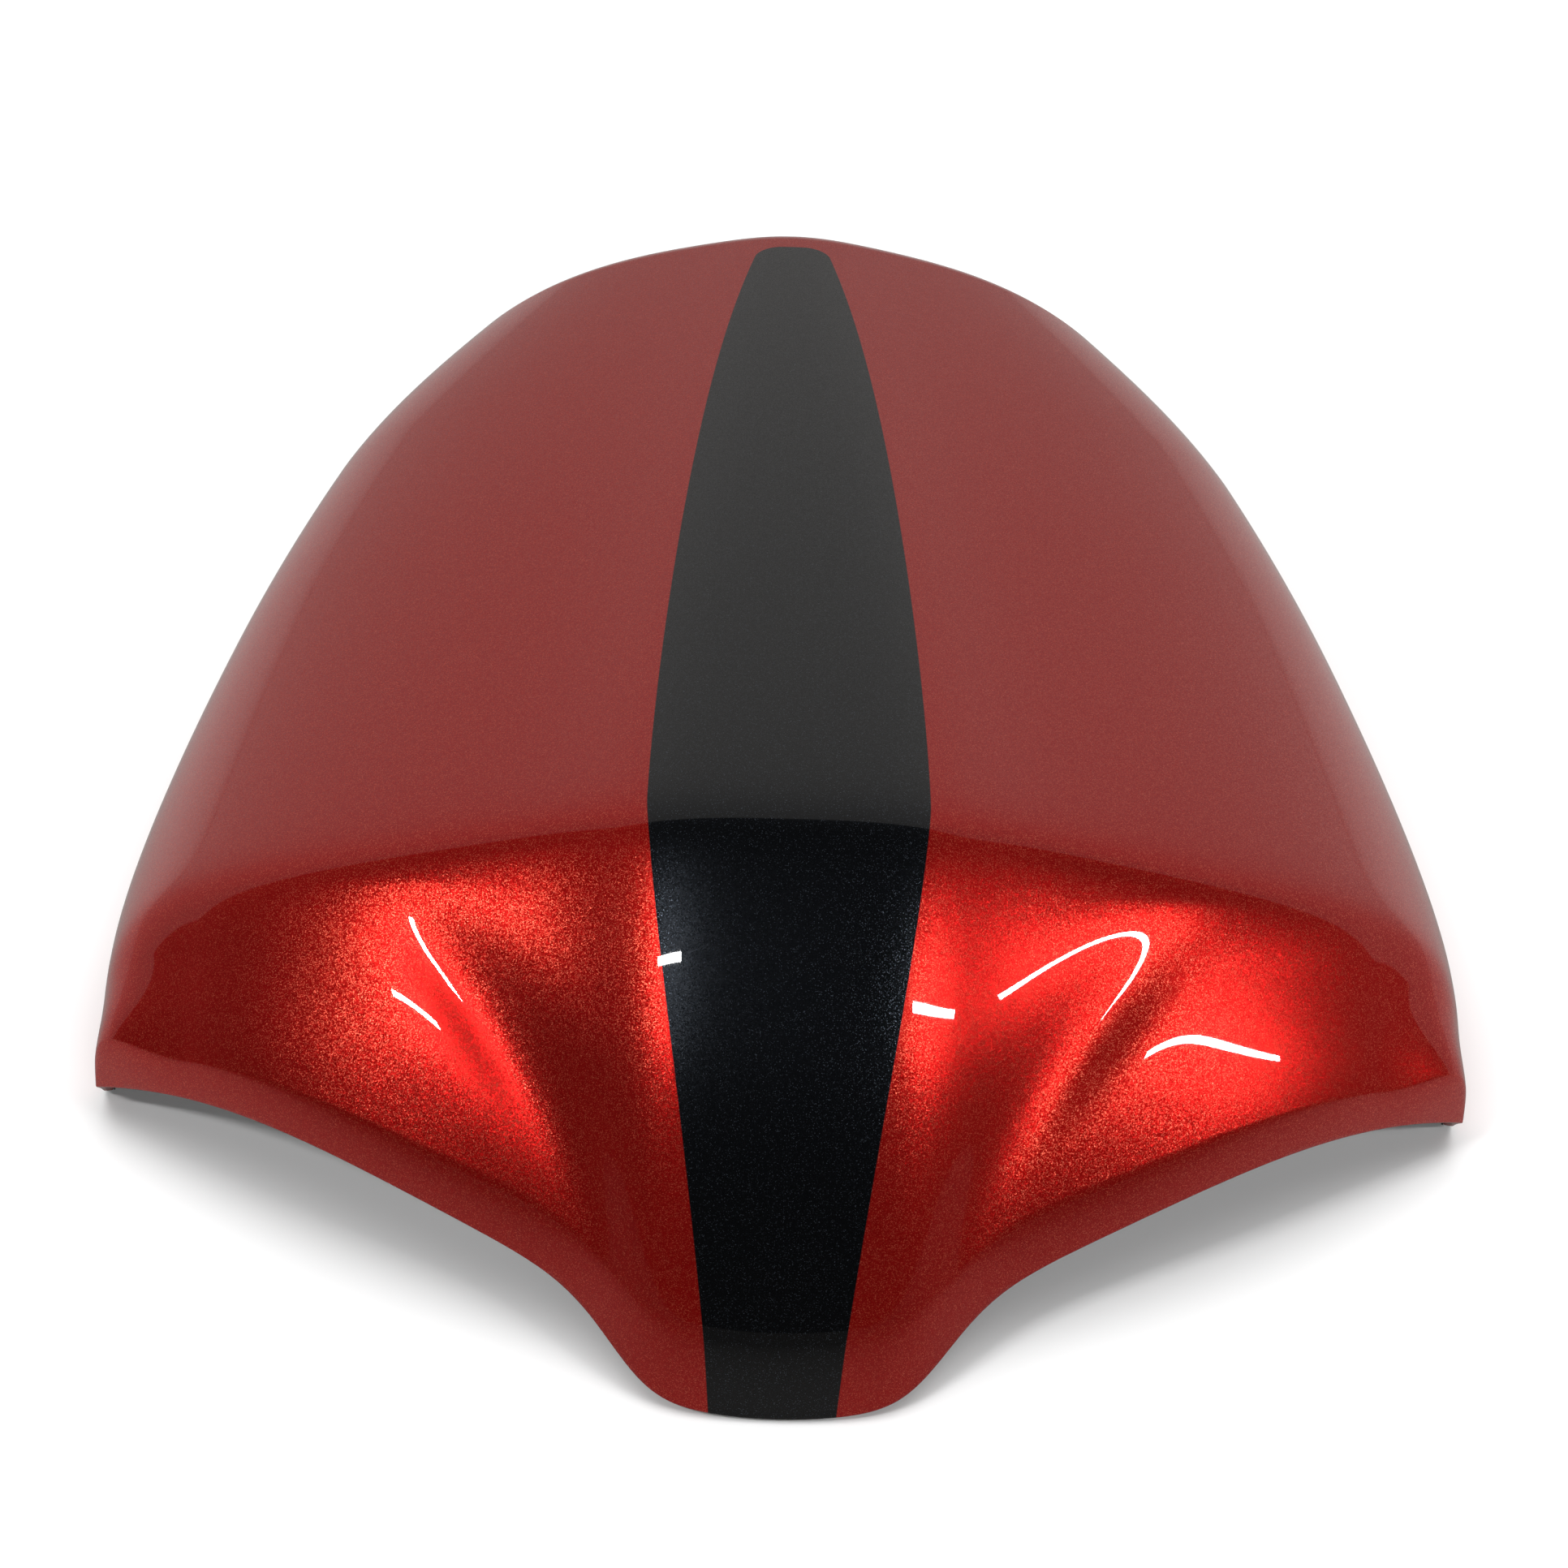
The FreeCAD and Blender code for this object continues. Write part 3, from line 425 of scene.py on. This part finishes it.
def skin_height(x, y):
    """Height of the outer skin over points of the plan view."""
    low = np.full_like(x, END_MARGIN)
    high = np.full_like(x, LENGTH - END_MARGIN)
    for _ in range(30):
        s = (low + high) / 2.0
        ahead = skin_points(x / half_width(s), s)[..., 1] < y
        low = np.where(ahead, s, low)
        high = np.where(ahead, high, s)
    return skin_points(x / half_width(s), s)[..., 2]


def wall_reach(y, z):
    """Half width of the outer skin at a station Y and height Z."""
    low, high = 0.0, HALF_WIDTH
    for _ in range(20):
        x = (low + high) / 2.0
        if skin_height(np.array([x]), np.array([y]))[0] > z:
            low = x
        else:
            high = x
    return x


def strip(x, y, half_x, half_y, cuts=8):
    """Plan outline of a bar, with points along its long sides."""
    turn = np.linspace(-1.0, 1.0, cuts + 1)
    there = [(x + half_x * t, y + half_y * t) for t in turn]
    across = BOSS_FIN_THICK / 2.0
    dx, dy = (0.0, across) if half_x else (across, 0.0)
    left = [(px - dx, py - dy) for px, py in there]
    right = [(px + dx, py + dy) for px, py in reversed(there)]
    return left + right


def inner_features():
    """Moulded bosses with their cross fins, and the tabs that take the trim clips."""
    found = []
    for fraction, setback in BOSS_SPOTS:
        x = fraction * half_width(setback)
        y = setback - MIDDLE
        turns = [2.0 * math.pi * k / 32 for k in range(32)]
        circle = [(x + BOSS_RADIUS * math.cos(t), y + BOSS_RADIUS * math.sin(t)) for t in turns]
        root = skin_height(np.array([x]), np.array([y]))[0] - BOSS_FIN_HEIGHT
        span = BOSS_FIN_SPAN / 2.0
        found.append((under_skin(circle), PAN_TOP))
        found.append((under_skin(strip(x, y, span, 0.0)), root))
        found.append((under_skin(strip(x, y, 0.0, span)), root))
    for setback in CLIP_SETBACKS:
        for hand in (-1, 1):
            near = half_width(setback) - TAB_REACH
            ends = [setback - TAB_WIDTH / 2.0, setback + TAB_WIDTH / 2.0]
            far = [wall_reach(e - MIDDLE, PAN_TOP + TAB_THICK) - WALL / 2.0 for e in ends]
            plan = [(near, ends[0]), (far[0], ends[0]), (far[1], ends[1]), (near, ends[1])]
            top = [(hand * px, e - MIDDLE, PAN_TOP + TAB_THICK) for px, e in plan]
            found.append((top, PAN_TOP))
    return found


def under_skin(outline):
    """Outline raised to the middle of the wall."""
    x, y = np.array(outline).T
    return list(zip(x, y, skin_height(x, y) - WALL / 2.0))


def add_prism(points, top, bottom):
    """Upright closed solid below a top outline; its faces, wound outwards."""
    turned = sum(a[0] * b[1] - b[0] * a[1] for a, b in zip(top, top[1:] + top[:1]))
    ring = list(top) if turned > 0 else list(top)[::-1]
    n = len(ring)
    first = len(points)
    points.extend(np.array(p) for p in ring)
    points.extend(np.array((p[0], p[1], bottom)) for p in ring)
    upper = list(range(first, first + n))
    lower = list(range(first + n, first + 2 * n))
    walls = [[lower[k], lower[(k + 1) % n], upper[(k + 1) % n], upper[k]] for k in range(n)]
    return [upper, lower[::-1]] + walls


def rim_arc(points, outside, inside):
    """Vertices of the rounded lower edge between the two skins; their indices in order."""
    across = inside - outside
    width = np.linalg.norm(across)
    direction = across / width
    made = []
    for n in range(1, RIM_STEPS + 1):
        angle = math.pi / 2.0 * n / RIM_STEPS
        step = RIM_RADIUS * (1.0 - math.cos(angle))
        made.append(outside + direction * step - np.array([0, 0, RIM_RADIUS * math.sin(angle)]))
    for n in range(RIM_STEPS, 0, -1):
        angle = math.pi / 2.0 * n / RIM_STEPS
        step = width - RIM_RADIUS * (1.0 - math.cos(angle))
        made.append(outside + direction * step - np.array([0, 0, RIM_RADIUS * math.sin(angle)]))
    first = len(points)
    points.extend(made)
    return list(range(first, first + len(made)))


# ---------------------------------------------------------------- materials

def new_material(name):
    material = bpy.data.materials.new(name)
    material.use_nodes = True
    tree = material.node_tree
    shader = tree.nodes["Principled BSDF"]
    coords = tree.nodes.new("ShaderNodeTexCoord")
    return material, tree, shader, coords.outputs["Object"]


def noise(tree, coords, scale, detail=3.0, roughness=0.55):
    node = tree.nodes.new("ShaderNodeTexNoise")
    node.inputs["Scale"].default_value = scale
    node.inputs["Detail"].default_value = detail
    node.inputs["Roughness"].default_value = roughness
    tree.links.new(coords, node.inputs["Vector"])
    return node.outputs["Fac"]


def ramp(tree, value, stops):
    node = tree.nodes.new("ShaderNodeValToRGB")
    while len(node.color_ramp.elements) < len(stops):
        node.color_ramp.elements.new(0.5)
    for element, (place, colour) in zip(node.color_ramp.elements, stops):
        element.position = place
        element.color = (*colour, 1.0) if len(colour) == 3 else colour
    tree.links.new(value, node.inputs["Fac"])
    return node.outputs["Color"]


def grey_ramp(tree, value, low, high, start=0.3, stop=0.7):
    return ramp(tree, value, [(start, (low,) * 3), (stop, (high,) * 3)])


def bump(tree, shader, height, strength, distance):
    node = tree.nodes.new("ShaderNodeBump")
    node.inputs["Strength"].default_value = strength
    node.inputs["Distance"].default_value = distance
    tree.links.new(height, node.inputs["Height"])
    tree.links.new(node.outputs["Normal"], shader.inputs["Normal"])


def vector_math(tree, operation, first, second=None, scale=None):
    node = tree.nodes.new("ShaderNodeVectorMath")
    node.operation = operation
    tree.links.new(first, node.inputs[0])
    if isinstance(second, tuple):
        node.inputs[1].default_value = second
    elif second is not None:
        tree.links.new(second, node.inputs[1])
    if scale is not None:
        node.inputs["Scale"].default_value = scale
    return node.outputs["Vector"]


def attribute(tree, name):
    node = tree.nodes.new("ShaderNodeAttribute")
    node.attribute_name = name
    return node.outputs["Fac"]


def map_range(tree, value, low, high, to_low=0.0, to_high=1.0):
    node = tree.nodes.new("ShaderNodeMapRange")
    node.inputs["From Min"].default_value = low
    node.inputs["From Max"].default_value = high
    node.inputs["To Min"].default_value = to_low
    node.inputs["To Max"].default_value = to_high
    tree.links.new(value, node.inputs["Value"])
    return node.outputs["Result"]


def mix_colour(tree, factor, first, second):
    node = tree.nodes.new("ShaderNodeMix")
    node.data_type = "RGBA"
    tree.links.new(factor, node.inputs["Factor"])
    for socket, value in ((node.inputs[6], first), (node.inputs[7], second)):
        if isinstance(value, tuple):
            socket.default_value = (*value, 1.0)
        else:
            tree.links.new(value, socket)
    return node.outputs[2]


def flakes(tree, coords, scale, tilt):
    """Metal flakes: a random tilt and a random brightness for each small cell."""
    cells = tree.nodes.new("ShaderNodeTexVoronoi")
    cells.inputs["Scale"].default_value = scale
    tree.links.new(coords, cells.inputs["Vector"])
    centred = vector_math(tree, "SUBTRACT", cells.outputs["Color"], (0.5, 0.5, 0.5))
    leaning = vector_math(tree, "SCALE", centred, scale=tilt)
    geometry = tree.nodes.new("ShaderNodeNewGeometry")
    summed = vector_math(tree, "ADD", geometry.outputs["Normal"], leaning)
    separate = tree.nodes.new("ShaderNodeSeparateColor")
    tree.links.new(cells.outputs["Color"], separate.inputs["Color"])
    return vector_math(tree, "NORMALIZE", summed), separate.outputs["Red"]


def lacquer():
    """Candy red metallic and black metallic stripe under one clear coat."""
    material, tree, shader, coords = new_material("candy_lacquer")
    direction, glint = flakes(tree, coords, 5200.0, 0.2)
    red = ramp(tree, glint, RED_FLAKE)
    black = ramp(tree, glint, BLACK_FLAKE)
    inside = map_range(tree, attribute(tree, "stripe_margin"), -0.12, 0.12)
    tree.links.new(mix_colour(tree, inside, red, black), shader.inputs["Base Color"])
    tree.links.new(direction, shader.inputs["Normal"])
    shader.inputs["Metallic"].default_value = 0.9
    shader.inputs["Roughness"].default_value = 0.33
    shader.inputs["Coat Weight"].default_value = 1.0
    shader.inputs["Coat Roughness"].default_value = 0.02
    shader.inputs["Coat IOR"].default_value = 1.5
    return material


def primer():
    """Dark grey primer on the unpainted inside, with a dry overspray."""
    material, tree, shader, coords = new_material("inner_primer")
    spray = noise(tree, coords, 90.0)
    dull = [(0.3, (0.030, 0.030, 0.031)), (0.7, (0.045, 0.044, 0.043))]
    tree.links.new(ramp(tree, spray, dull), shader.inputs["Base Color"])
    tree.links.new(grey_ramp(tree, noise(tree, coords, 300.0), 0.55, 0.7), shader.inputs["Roughness"])
    bump(tree, shader, noise(tree, coords, 1400.0, 2.0), 0.3, 0.00008)
    return material


def moulded_plastic(name, colour, grain, depth, rough):
    """Black moulded plastic with a fine spark-eroded grain and slight flow marks."""
    material, tree, shader, coords = new_material(name)
    wash = noise(tree, coords, 35.0)
    light = tuple(c * 1.5 for c in colour)
    tree.links.new(ramp(tree, wash, [(0.3, colour), (0.75, light)]), shader.inputs["Base Color"])
    patches = grey_ramp(tree, noise(tree, coords, 160.0), rough - 0.07, rough + 0.08)
    tree.links.new(patches, shader.inputs["Roughness"])
    bump(tree, shader, noise(tree, coords, grain, 2.0), 0.35, depth)
    return material


def rubber(name):
    """Moulded black rubber with a dusty bloom."""
    material, tree, shader, coords = new_material(name)
    bloom = noise(tree, coords, 120.0, 5.0)
    tree.links.new(ramp(tree, bloom, [(0.35, (0.012, 0.012, 0.012)), (0.75, (0.040, 0.039, 0.037))]),
                   shader.inputs["Base Color"])
    tree.links.new(grey_ramp(tree, bloom, 0.62, 0.85), shader.inputs["Roughness"])
    bump(tree, shader, noise(tree, coords, 1800.0, 2.0), 0.3, 0.00006)
    return material


def plated_metal(name, dark, light, rough, scale):
    """Zinc-plated or brass surface: crystalline mottling and fine scratches."""
    material, tree, shader, coords = new_material(name)
    cells = tree.nodes.new("ShaderNodeTexVoronoi")
    cells.inputs["Scale"].default_value = scale
    tree.links.new(coords, cells.inputs["Vector"])
    separate = tree.nodes.new("ShaderNodeSeparateColor")
    tree.links.new(cells.outputs["Color"], separate.inputs["Color"])
    crystals = ramp(tree, separate.outputs["Green"], [(0.0, dark), (1.0, light)])
    tree.links.new(crystals, shader.inputs["Base Color"])
    shader.inputs["Metallic"].default_value = 1.0
    patches = grey_ramp(tree, noise(tree, coords, 420.0), rough - 0.08, rough + 0.12)
    tree.links.new(patches, shader.inputs["Roughness"])
    stretched = tree.nodes.new("ShaderNodeMapping")
    stretched.inputs["Scale"].default_value = (1.0, 14.0, 14.0)
    tree.links.new(coords, stretched.inputs["Vector"])
    bump(tree, shader, noise(tree, stretched.outputs["Vector"], 500.0, 2.0), 0.12, 0.00004)
    return material


def powder_coat(name):
    """Satin black powder coat with orange peel."""
    material, tree, shader, coords = new_material(name)
    satin = [(0.3, (0.016, 0.016, 0.018)), (0.7, (0.030, 0.030, 0.032))]
    tree.links.new(ramp(tree, noise(tree, coords, 60.0), satin), shader.inputs["Base Color"])
    tree.links.new(grey_ramp(tree, noise(tree, coords, 240.0), 0.36, 0.5), shader.inputs["Roughness"])
    bump(tree, shader, noise(tree, coords, 700.0, 1.0), 0.35, 0.00008)
    return material


def foam(name):
    """Charcoal foam with open surface cells, their pits painted darker as shade."""
    material, tree, shader, coords = new_material(name)
    cells = tree.nodes.new("ShaderNodeTexVoronoi")
    cells.inputs["Scale"].default_value = 900.0
    tree.links.new(coords, cells.inputs["Vector"])
    depth = map_range(tree, cells.outputs["Distance"], 0.0, 0.7)
    # Painted shade: the colour darkens towards each cell's centre, the bottom of its pit.
    tree.links.new(ramp(tree, depth, [(0.1, (0.020, 0.020, 0.022)), (0.8, (0.085, 0.085, 0.09))]),
                   shader.inputs["Base Color"])
    shader.inputs["Roughness"].default_value = 0.95
    bump(tree, shader, depth, 0.8, 0.0004)
    return material


def dress(thing, material):
    thing.data.materials.clear()
    thing.data.materials.append(material)


# ---------------------------------------------------------------- finishes on the CAD pieces

build_shell()

FINISHES = {
    "pan_plastic": moulded_plastic("pan_grain", (0.020, 0.020, 0.021), 1500.0, 0.00012, 0.55),
    "clip_plastic": moulded_plastic("clip_nylon", (0.016, 0.016, 0.017), 2600.0, 0.00004, 0.42),
    "brass": plated_metal("turned_brass", (0.52, 0.36, 0.13), (0.72, 0.53, 0.24), 0.3, 900.0),
    "zinc_steel": plated_metal("zinc_plate", (0.46, 0.48, 0.50), (0.70, 0.71, 0.72), 0.3, 1100.0),
    "aluminium_rivet": plated_metal(
        "bright_aluminium", (0.62, 0.62, 0.63), (0.78, 0.78, 0.79), 0.28, 1500.0),
    "black_steel": powder_coat("satin_powder_coat"),
    "rubber": rubber("moulded_rubber"),
    "foam": foam("pad_foam"),
}
for part in frame["record"]["subparts"]:
    node = part["node"]
    if node != "cowl_shell":
        dress(NODES[node], FINISHES[part["material_slot"]])


# ---------------------------------------------------------------- studio

def stage_mesh(name, verts, faces, material):
    mesh = bpy.data.meshes.new(name)
    mesh.from_pydata(verts, [], faces)
    mesh.materials.append(material)
    mesh.shade_smooth()
    thing = bpy.data.objects.new(name, mesh)
    bpy.context.scene.collection.objects.link(thing)


# Painted shade on the floor as the lacquer mirrors it: greys darker than the paper, darkest in front of
# the nose, lighter beside the rear half
FLOOR_MIRRORED_SHADE = [(0.2, (0.05, 0.045, 0.04)), (0.6, (0.24, 0.23, 0.22)), (1.0, (0.34, 0.33, 0.32))]


def floor_material():
    material, tree, shader, coords = new_material("pale_paper")
    paper = ramp(tree, noise(tree, coords, 3.0), [(0.3, (0.86, 0.86, 0.86)), (0.7, (0.89, 0.89, 0.89))])
    path = tree.nodes.new("ShaderNodeLightPath")
    axes = tree.nodes.new("ShaderNodeSeparateXYZ")
    tree.links.new(coords, axes.inputs[0])
    # Glossy rays see the floor painted darker than the paper, darkest in front of the nose: painted
    # shade in the floor's reflection
    mirrored_shade = ramp(tree, map_range(tree, axes.outputs["Y"], -0.5, 0.1), FLOOR_MIRRORED_SHADE)
    shown = mix_colour(tree, path.outputs["Is Glossy Ray"], paper, mirrored_shade)
    tree.links.new(shown, shader.inputs["Base Color"])
    shader.inputs["Roughness"].default_value = 0.9
    shader.inputs["Specular IOR Level"].default_value = 0.1
    return material


FLOOR_HALF = 2.2
stage_mesh("floor", [(-FLOOR_HALF, -FLOOR_HALF, 0), (FLOOR_HALF, -FLOOR_HALF, 0),
                     (FLOOR_HALF, FLOOR_HALF, 0), (-FLOOR_HALF, FLOOR_HALF, 0)],
           [(0, 1, 2, 3)], floor_material())


def soft_box(name, place, target, width, height, watts):
    light = bpy.data.lights.new(name, "AREA")
    light.shape = "RECTANGLE"
    light.size = width
    light.size_y = height
    light.energy = watts
    thing = bpy.data.objects.new(name, light)
    bpy.context.scene.collection.objects.link(thing)
    thing.location = place
    thing.rotation_euler = (Vector(target) - Vector(place)).to_track_quat("-Z", "Y").to_euler()
    return thing


CENTRE = (0.0, 0.0, 0.08)
# Two tubes along X, up in front of the nose, give the bright streaks on the face
TUBE_Y = -1.27
NOSE_Y = -0.17
soft_box("tube_right", (2.2, TUBE_Y, 1.56), (2.2, NOSE_Y, 0.08), 2.0, 0.06, 30.0)
soft_box("tube_left", (-1.3, TUBE_Y, 1.98), (-1.3, NOSE_Y, 0.08), 0.8, 0.06, 22.0)
# Fills for the floor and the dull pieces, hidden from the lacquer so that its ceiling stays dark
overhead = soft_box("overhead", (0.0, 0.2, 2.6), CENTRE, 3.0, 3.0, 84.0)
overhead.visible_glossy = False
front_fill = soft_box("front_fill", (0.0, -2.4, 0.9), CENTRE, 3.0, 1.0, 26.0)
front_fill.visible_glossy = False


def studio_air():
    """Pale backdrop behind the tail, fading to a dark ceiling and front; pale where seen directly."""
    world = bpy.data.worlds.new("studio_air")
    world.use_nodes = True
    tree = world.node_tree
    background = tree.nodes["Background"]
    coords = tree.nodes.new("ShaderNodeTexCoord")
    axes = tree.nodes.new("ShaderNodeSeparateXYZ")
    tree.links.new(coords.outputs["Generated"], axes.inputs[0])
    forward = tree.nodes.new("ShaderNodeMath")
    forward.operation = "MULTIPLY"
    forward.inputs[1].default_value = -1.0
    tree.links.new(axes.outputs["Y"], forward.inputs[0])
    angle = tree.nodes.new("ShaderNodeMath")
    angle.operation = "ARCTAN2"
    height = tree.nodes.new("ShaderNodeMath")
    height.operation = "ABSOLUTE"
    tree.links.new(axes.outputs["Z"], height.inputs[0])
    tree.links.new(height.outputs[0], angle.inputs[0])
    tree.links.new(forward.outputs[0], angle.inputs[1])
    turn = map_range(tree, angle.outputs[0], 0.0, math.pi)
    glow = ramp(tree, turn, BACKDROP_STOPS)
    path = tree.nodes.new("ShaderNodeLightPath")
    seen = mix_colour(tree, path.outputs["Is Camera Ray"], glow, (0.93, 0.93, 0.93))
    tree.links.new(seen, background.inputs["Color"])
    background.inputs["Strength"].default_value = 1.0
    bpy.context.scene.world = world


# Share of the half turn from the front horizon over the top to the back horizon, and its grey
BACKDROP_STOPS = [
    (0.0, (0.020, 0.018, 0.016)),
    (0.30, (0.020, 0.020, 0.022)),
    (0.635, (0.030, 0.029, 0.029)),
    (0.645, (0.31, 0.30, 0.29)),
    (1.0, (0.285, 0.275, 0.265)),
]
studio_air()
bpy.context.scene.view_settings.view_transform = "Standard"


# ---------------------------------------------------------------- camera

def place_camera():
    turn = math.radians(CAMERA_TURN)
    rise = math.radians(CAMERA_RISE)
    away = Vector((0.0, -math.cos(rise), math.sin(rise))) * CAMERA_DISTANCE + AIM
    data = bpy.data.cameras.new("camera")
    data.sensor_width = SENSOR
    data.lens = LENS
    camera = bpy.data.objects.new("camera", data)
    bpy.context.scene.collection.objects.link(camera)
    look = (AIM - away).to_track_quat("-Z", "Y").to_matrix().to_4x4()
    roll = Matrix.Rotation(math.radians(CAMERA_ROLL), 4, "Z")
    around = Matrix.Rotation(-turn, 4, "Z")
    camera.matrix_world = around @ Matrix.Translation(away) @ look @ roll
    bpy.context.scene.camera = camera


place_camera()
